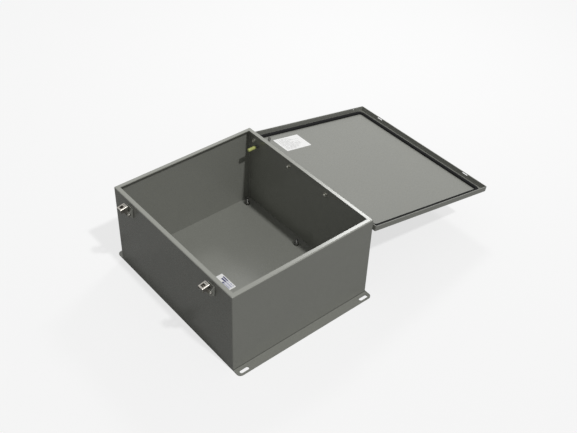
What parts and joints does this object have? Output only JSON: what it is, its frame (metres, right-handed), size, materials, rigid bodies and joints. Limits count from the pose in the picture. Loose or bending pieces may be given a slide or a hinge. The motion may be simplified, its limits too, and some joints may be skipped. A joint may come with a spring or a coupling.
{
  "type": "wall-mounted electrical enclosure",
  "caption": "Rectangular sheet-steel wall enclosure with a gasketed cover on a continuous hinge, swing latches, slotted mounting flanges and panel studs inside.",
  "frame": {"origin": "middle of the back's outer face, the face that meets the wall", "axes": "+Z out of the opening, away from the wall; +X from the latch wall to the hinge wall; the mounting flanges lie past the walls across Y"},
  "size_m": [0.7481, 0.4484, 0.2032],
  "materials": {
    "body_walls": "grey semi-gloss powder coat",
    "back_panel": "grey semi-gloss powder coat",
    "panel_studs": "zinc plate",
    "ground_stud": "zinc plate",
    "ground_stud_sleeve": "yellow-green sleeve",
    "cover": "grey semi-gloss powder coat",
    "cover_gasket": "closed-cell foam",
    "cover_ground_stud": "zinc plate",
    "hinge_body_leaf": "grey semi-gloss powder coat",
    "hinge_cover_leaf": "grey semi-gloss powder coat",
    "hinge_pin": "plain stainless",
    "hinge_screws": "zinc plate",
    "hinge_washers": "zinc plate",
    "hinge_nuts": "zinc plate",
    "latch_bracket_1": "grey semi-gloss powder coat",
    "latch_bracket_2": "grey semi-gloss powder coat",
    "latch_lever_1": "plain stainless",
    "latch_lever_2": "plain stainless",
    "latch_pin_1": "plain stainless",
    "latch_pin_2": "plain stainless"
  },
  "bodies": {
    "enclosure": {"body_walls": "body_walls", "back_panel": "back_panel", "panel_studs": "panel_studs", "ground_stud": "ground_stud", "ground_stud_sleeve": "ground_stud_sleeve", "hinge_body_leaf": "hinge_body_leaf", "hinge_pin": "hinge_pin", "hinge_screws": "hinge_screws", "hinge_washers": "hinge_washers", "hinge_nuts": "hinge_nuts", "latch_bracket_1": "latch_bracket_1", "latch_bracket_2": "latch_bracket_2", "latch_pin_1": "latch_pin_1", "latch_pin_2": "latch_pin_2"},
    "cover_body": {"cover": "cover", "cover_gasket": "cover_gasket", "cover_ground_stud": "cover_ground_stud", "hinge_cover_leaf": "hinge_cover_leaf"},
    "latch_1": {"latch_lever_1": "latch_lever_1"},
    "latch_2": {"latch_lever_2": "latch_lever_2"}
  },
  "joints": [
    {"name": "cover_hinge", "type": "hinge", "parent": "enclosure", "child": "cover_body", "pos_m": [0.18305, 0, 0.1905], "axis": [0, -1, 0], "range_deg": [0, 191.19]},
    {"name": "latch_1_swing", "type": "hinge", "parent": "enclosure", "child": "latch_1", "pos_m": [-0.1872, 0.1413, 0.1791], "axis": [0, 1, 0], "range_deg": [0, 16]},
    {"name": "latch_2_swing", "type": "hinge", "parent": "enclosure", "child": "latch_2", "pos_m": [-0.1872, -0.1413, 0.1791], "axis": [0, 1, 0], "range_deg": [0, 16]}
  ]
}
